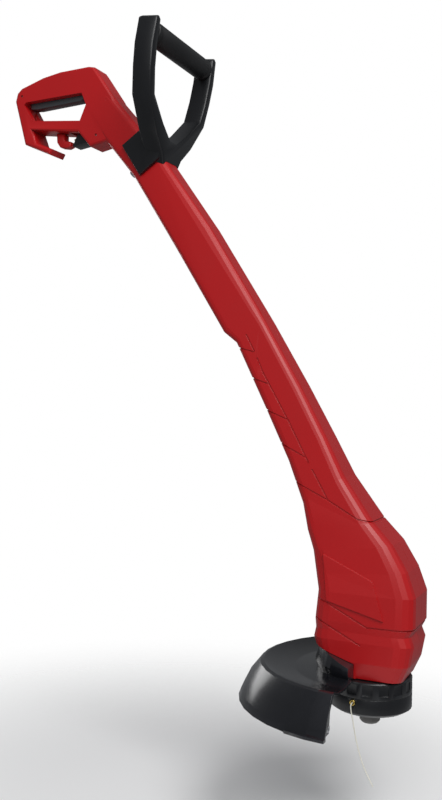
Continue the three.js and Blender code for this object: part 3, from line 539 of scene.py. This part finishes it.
@dataclass
class Studio:
    """The camera, the lights, the floor and the sky. Lengths are in metres, angles in degrees."""

    lamps: tuple[Lamp, ...] = (
        Lamp("key", (1.5, -1.0, 1.2), 1.0, 30.0),
        Lamp("fill", (0.9, -1.9, 0.6), 1.4, 22.0),
        Lamp("back", (-1.8, 1.2, 0.1), 1.2, 12.0),
    )
    floor_size: float = 14.0
    floor_ahead: float = 0.2
    floor_below: float = 0.09
    fade_from: float = 0.15
    fade_to: float = 0.75
    daylight: float = 0.20
    sensor: float = 36.0
    lens: float = 41.1
    eye: Vector = field(default_factory=lambda: Vector((0.7061, -1.0085, -0.4031)))
    yaw: float = 25.98
    pitch: float = 0.18
    roll: float = 1.07
    shift: tuple[float, float] = (0.0243, -0.0036)

    def build(self) -> None:
        """Places the camera, the lights, the sky and the floor."""
        self._camera()
        self._lights()
        self._floor()
        self._sky()

    def _camera(self) -> None:
        """Places the camera to the front right of the trimmer."""
        turn = math.radians(self.yaw)
        level = Matrix(
            (
                (math.cos(turn), math.sin(turn), 0.0),
                (0.0, 0.0, -1.0),
                (-math.sin(turn), math.cos(turn), 0.0),
            )
        )
        rolled = Matrix.Rotation(math.radians(self.roll), 3, "Z")
        tilt = rolled @ Matrix.Rotation(math.radians(self.pitch), 3, "X")
        axes = tilt @ level
        data = bpy.data.cameras.new("camera")
        data.lens = self.lens
        data.sensor_width = self.sensor
        data.shift_x, data.shift_y = self.shift
        camera = bpy.data.objects.new("camera", data)
        turned = Matrix((axes[0], -axes[1], -axes[2])).transposed()
        camera.matrix_world = Matrix.Translation(self.eye) @ turned.to_4x4()
        bpy.context.scene.collection.objects.link(camera)
        bpy.context.scene.camera = camera

    def _lights(self) -> None:
        """Adds a key, a fill and a back light."""
        for lamp in self.lamps:
            lamp.build()

    def _floor(self) -> None:
        """Adds a pale floor that fades into the white room around it."""
        bpy.ops.object.select_all(action="DESELECT")
        place_of_floor = (self.floor_ahead, 0.0, CAD_BOX[0].z - self.floor_below)
        bpy.ops.mesh.primitive_plane_add(size=self.floor_size, location=place_of_floor)
        floor = bpy.context.active_object
        floor.name = "floor"
        made = bpy.data.materials.new("pale_floor")
        made.use_nodes = True
        hand = NodeTree(made.node_tree)
        shader = made.node_tree.nodes["Principled BSDF"]
        shader.inputs["Base Color"].default_value = (0.93, 0.93, 0.93, 1.0)
        shader.inputs["Roughness"].default_value = 0.9
        place = hand.add("ShaderNodeTexCoord")
        reach = hand.add("ShaderNodeVectorMath", operation="LENGTH")
        fade = hand.add("ShaderNodeMapRange", interpolation_type="SMOOTHSTEP")
        fade.inputs["From Min"].default_value = self.fade_from
        fade.inputs["From Max"].default_value = self.fade_to
        clear = hand.add("ShaderNodeBsdfTransparent")
        mix = hand.add("ShaderNodeMixShader")
        hand.link(place.outputs["Object"], reach.inputs[0])
        hand.link(reach.outputs["Value"], fade.inputs["Value"])
        hand.link(fade.outputs["Result"], mix.inputs[0])
        hand.link(shader.outputs["BSDF"], mix.inputs[1])
        hand.link(clear.outputs["BSDF"], mix.inputs[2])
        hand.link(mix.outputs["Shader"], made.node_tree.nodes["Material Output"].inputs["Surface"])
        floor.data.materials.append(made)

    def _sky(self) -> None:
        """Fills the room with even white light."""
        world = bpy.data.worlds.new("studio")
        bpy.context.scene.world = world
        world.use_nodes = True
        hand = NodeTree(world.node_tree)
        seen = world.node_tree.nodes["Background"]
        seen.inputs["Color"].default_value = (1.0, 1.0, 1.0, 1.0)
        seen.inputs["Strength"].default_value = 1.0
        lit = hand.add("ShaderNodeBackground")
        lit.inputs["Color"].default_value = (0.93, 0.96, 1.0, 1.0)
        lit.inputs["Strength"].default_value = self.daylight
        path = hand.add("ShaderNodeLightPath")
        mix = hand.add("ShaderNodeMixShader")
        hand.link(path.outputs["Is Camera Ray"], mix.inputs[0])
        hand.link(lit.outputs[0], mix.inputs[1])
        hand.link(seen.outputs[0], mix.inputs[2])
        hand.link(mix.outputs[0], world.node_tree.nodes["World Output"].inputs["Surface"])
        bpy.context.scene.view_settings.view_transform = "Standard"


@dataclass
class CuttingLine:
    """The nylon line that hangs out of the eyelet."""

    radius: float = 0.6 * MM
    steps: int = 8
    head_axis: float = 0.432612
    head_foot: float = -0.749576
    eyelet_turn: float = -99.0
    eyelet_rise: float = 15.5
    head_radius: float = 46.0

    def points(self) -> list[Vector]:
        """Gives the points of the line, in metres.

        Returns:
            Points on a smooth curve from inside the cap to the free end.
        """
        turn = math.radians(self.eyelet_turn)
        out = Vector((math.cos(turn), math.sin(turn), 0.0))
        rise = self.eyelet_rise
        leaves = out * self.head_radius + Vector((0.0, 0.0, rise))
        knots = [
            out * 41.0 + Vector((0.0, 0.0, rise)),
            out * 47.2 + Vector((0.0, 0.0, rise - 0.3)),
            out * 50.0 + Vector((0.0, 0.0, rise - 3.0)),
            leaves + Vector((3.2, -7.6, -17.5)),
            leaves + Vector((9.2, -12.6, -37.5)),
            leaves + Vector((18.2, -18.6, -57.5)),
            leaves + Vector((31.2, -25.6, -75.5)),
        ]
        head = Vector((self.head_axis, 0.0, self.head_foot))
        return [p * MM + head for p in self._catmull_rom(knots)]

    def _catmull_rom(self, knots: list[Vector]) -> list[Vector]:
        """Runs a centripetal curve through the knots.

        Args:
            knots: the points to pass through.

        Returns:
            The points of the curve.
        """
        ends = [knots[0] * 2 - knots[1], *knots, knots[-1] * 2 - knots[-2]]
        run = []
        for a, b, c, d in zip(ends, ends[1:], ends[2:], ends[3:]):
            t = [0.0]
            for p, q in ((a, b), (b, c), (c, d)):
                t.append(t[-1] + math.sqrt((q - p).length))
            for step in range(self.steps):
                at = t[1] + (t[2] - t[1]) * step / self.steps
                ab = a.lerp(b, at / t[1])
                bc = b.lerp(c, (at - t[1]) / (t[2] - t[1]))
                cd = c.lerp(d, (at - t[2]) / (t[3] - t[2]))
                abc = ab.lerp(bc, at / t[2])
                bcd = bc.lerp(cd, (at - t[1]) / (t[3] - t[1]))
                run.append(abc.lerp(bcd, (at - t[1]) / (t[2] - t[1])))
        return [*run, knots[-1]]

    def build(self, palette: Palette) -> bpy.types.Object:
        """Makes the line.

        Args:
            palette: the materials.

        Returns:
            The line's curve.
        """
        run = self.points()
        data = bpy.data.curves.new("nylon_line", "CURVE")
        data.dimensions = "3D"
        data.bevel_depth = self.radius
        data.bevel_resolution = 4
        data.use_fill_caps = True
        spline = data.splines.new("POLY")
        spline.points.add(len(run) - 1)
        for point, place in zip(spline.points, run):
            point.co = (*place, 1.0)
        line = bpy.data.objects.new("nylon_line", data)
        bpy.context.scene.collection.objects.link(line)
        palette.paint(line, "nylon_line")
        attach(line, Rides.ROTOR.value)
        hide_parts("cutting_line")
        return line


@dataclass
class Moulding:
    """One moulded piece that takes the place of its CAD node."""

    node: str
    name: str
    finish: str
    slot: str
    rides: Rides = Rides.BODY
    edge: float = 0.0
    crease: float = 35.0

    def build(self, palette: Palette) -> bpy.types.Object:
        """Copies the node, rounds its edges and dresses it.

        Args:
            palette: the materials.

        Returns:
            The finished piece.
        """
        piece = copy_of(self.node, self.name)
        self.shape(piece)
        if self.edge:
            round_edges(piece, self.edge)
        smooth(piece, self.crease)
        palette.paint(piece, self.finish)
        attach(piece, self.rides.value)
        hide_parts(self.node)
        log.info("%s: %d faces", self.name, len(piece.data.polygons))
        return piece

    def shape(self, piece: bpy.types.Object) -> None:
        """Adds detail to the piece; a plain moulding has none.

        Args:
            piece: the piece to shape.
        """


@dataclass
class BodyShells:
    """The two red halves of the body, with the cord hook and the inlet."""

    def build(self, palette: Palette) -> None:
        """Builds the red mouldings and the inlet.

        Args:
            palette: the materials.
        """
        for side in ("right", "left"):
            Moulding(
                f"housing_{side}", f"{side}_shell", "red_moulding", "red_plastic", crease=9.0
            ).build(palette)
        Moulding("cord_hook", "hook", "red_moulding", "red_plastic", edge=0.8 * MM).build(palette)
        Moulding("mains_inlet", "inlet", "black_moulding", "black_plastic", edge=0.5 * MM).build(palette)
        Moulding(
            "trigger", "trigger_bar", "grey_moulding", "grey_plastic", Rides.TRIGGER, 0.5 * MM
        ).build(palette)


@dataclass
class GuardPiece(Moulding):
    """The half-round guard, with the lines that divide its skirt."""

    lines: int = 9
    width: float = 1.0 * MM
    depth: float = 1.2 * MM
    length: float = 30.0 * MM
    lean: float = -32.0
    first_turn: float = 95.0
    sweep: float = 170.0
    rise: float = 20.0 * MM
    inside_rim: float = 7.4 * MM

    def shape(self, piece: bpy.types.Object) -> None:
        """Cuts the dividing lines into the skirt.

        Args:
            piece: the guard.
        """
        low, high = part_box(self.node)
        drum_low, drum_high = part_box("spool_drum")
        axis = (drum_low + drum_high) / 2
        rim = high.y
        foot = low.z + self.rise
        cutters = []
        for i in range(self.lines):
            turn = math.radians(self.first_turn + self.sweep * (i + 0.5) / self.lines)
            place = (
                Matrix.Translation((axis.x, 0.0, 0.0))
                @ Matrix.Rotation(turn, 4, "Z")
                @ Matrix.Translation((rim - self.inside_rim, 0.0, foot))
                @ Matrix.Rotation(math.radians(self.lean), 4, "Y")
            )
            cutters.append(block(f"line_{i}", Vector((self.depth, self.width, self.length)), place))
        cut(piece, cutters)


@dataclass
class LoopHandle:
    """The black loop with its soft grip."""

    def build(self, palette: Palette) -> None:
        """Builds the loop and its grip.

        Args:
            palette: the materials.
        """
        Moulding(
            "loop_handle", "loop", "black_moulding", "black_plastic", edge=1.5 * MM, crease=30.0
        ).build(palette)
        Moulding("loop_grip", "grip_sleeve", "soft_grip", "soft_black", crease=40.0).build(palette)


@dataclass
class CuttingHead:
    """The ribbed drum, its cap, the latches, the eyelet and the tap knob."""

    def build(self, palette: Palette) -> None:
        """Builds the head's mouldings.

        Args:
            palette: the materials.
        """
        parts = (
            Moulding(
                "spool_drum", "ribbed_drum", "black_moulding", "black_plastic", Rides.ROTOR, 0.4 * MM, 30.0
            ),
            Moulding("drum_cap", "cap", "black_moulding", "black_plastic", Rides.ROTOR, 0.4 * MM, 30.0),
            Moulding(
                "latch_front", "front_latch", "black_moulding", "black_plastic", Rides.LATCH_FRONT, 0.3 * MM
            ),
            Moulding(
                "latch_rear", "rear_latch", "black_moulding", "black_plastic", Rides.LATCH_REAR, 0.3 * MM
            ),
            Moulding("eyelet", "line_eyelet", "brass", "brass_and_copper", Rides.ROTOR, 0.3 * MM, 50.0),
            Moulding("tap_knob", "knob", "knob_grey", "grey_plastic", Rides.TAP, 0.6 * MM, 40.0),
        )
        for part in parts:
            part.build(palette)


@dataclass
class Spring(Moulding):
    """A steel spring that takes the place of its CAD node, with a mesh of its own."""

    joint: str = ""
    travel: float = 0.0
    clearance: float = 0.2 * MM

    def build(self, palette: Palette) -> bpy.types.Object:
        """Builds the spring and gives it a mesh of its own.

        Args:
            palette: the materials.

        Returns:
            The finished spring.
        """
        piece = super().build(palette)
        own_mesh(piece)
        return piece


@dataclass
class Springs:
    """The springs under the tap knob and over the trigger."""

    tap_travel: float = 5.0 * MM
    trigger_turn: float = math.radians(4.0)

    def build(self, palette: Palette) -> None:
        """Builds both springs.

        Args:
            palette: the materials.
        """
        Spring(
            "tap_spring",
            "knob_spring",
            "plain_steel",
            "steel",
            Rides.ROTOR,
            joint="tap_press",
            travel=self.tap_travel,
        ).build(palette)
        pin_low, pin_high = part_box("trigger_pin")
        low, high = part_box("trigger_spring")
        reach = high.x - (pin_low.x + pin_high.x) / 2
        Spring(
            "trigger_spring",
            "bar_spring",
            "plain_steel",
            "steel",
            joint="trigger_press",
            travel=reach * math.sin(self.trigger_turn),
        ).build(palette)


@dataclass
class InnerParts:
    """The CAD nodes that keep their own meshes, which are inside or small."""

    by_word: dict[str, str] = field(
        default_factory=lambda: {
            "coil_": "copper_winding",
            "commutator": "copper_winding",
            "carbon": "carbon",
            "holder": "brass",
            "contact": "brass",
            "_bearing_plate": "black_moulding",
            "bearing": "brass",
            "lead": "soft_grip",
            "wound_line": "nylon_line",
            "plunger": "grey_moulding",
            "fan": "black_moulding",
            "switch_body": "black_moulding",
            "suppressor": "black_moulding",
            "spool": "black_moulding",
        }
    )

    def build(self, palette: Palette) -> None:
        """Paints each remaining node.

        Args:
            palette: the materials.
        """
        for name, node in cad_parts.items():
            finish = next((f for word, f in self.by_word.items() if word in name), "plain_steel")
            palette.paint(node, finish)
        log.info("inner nodes painted")


def main() -> None:
    """Builds the scene in order: studio, line, then each sub-assembly."""
    logging.basicConfig(level=logging.INFO)
    Studio().build()
    palette = Palette()
    CuttingLine().build(palette)
    InnerParts().build(palette)
    BodyShells().build(palette)
    GuardPiece("guard", "half_guard", "guard_gloss", "black_plastic", crease=24.0).build(palette)
    LoopHandle().build(palette)
    CuttingHead().build(palette)
    Springs().build(palette)


if __name__ == "__main__":
    main()
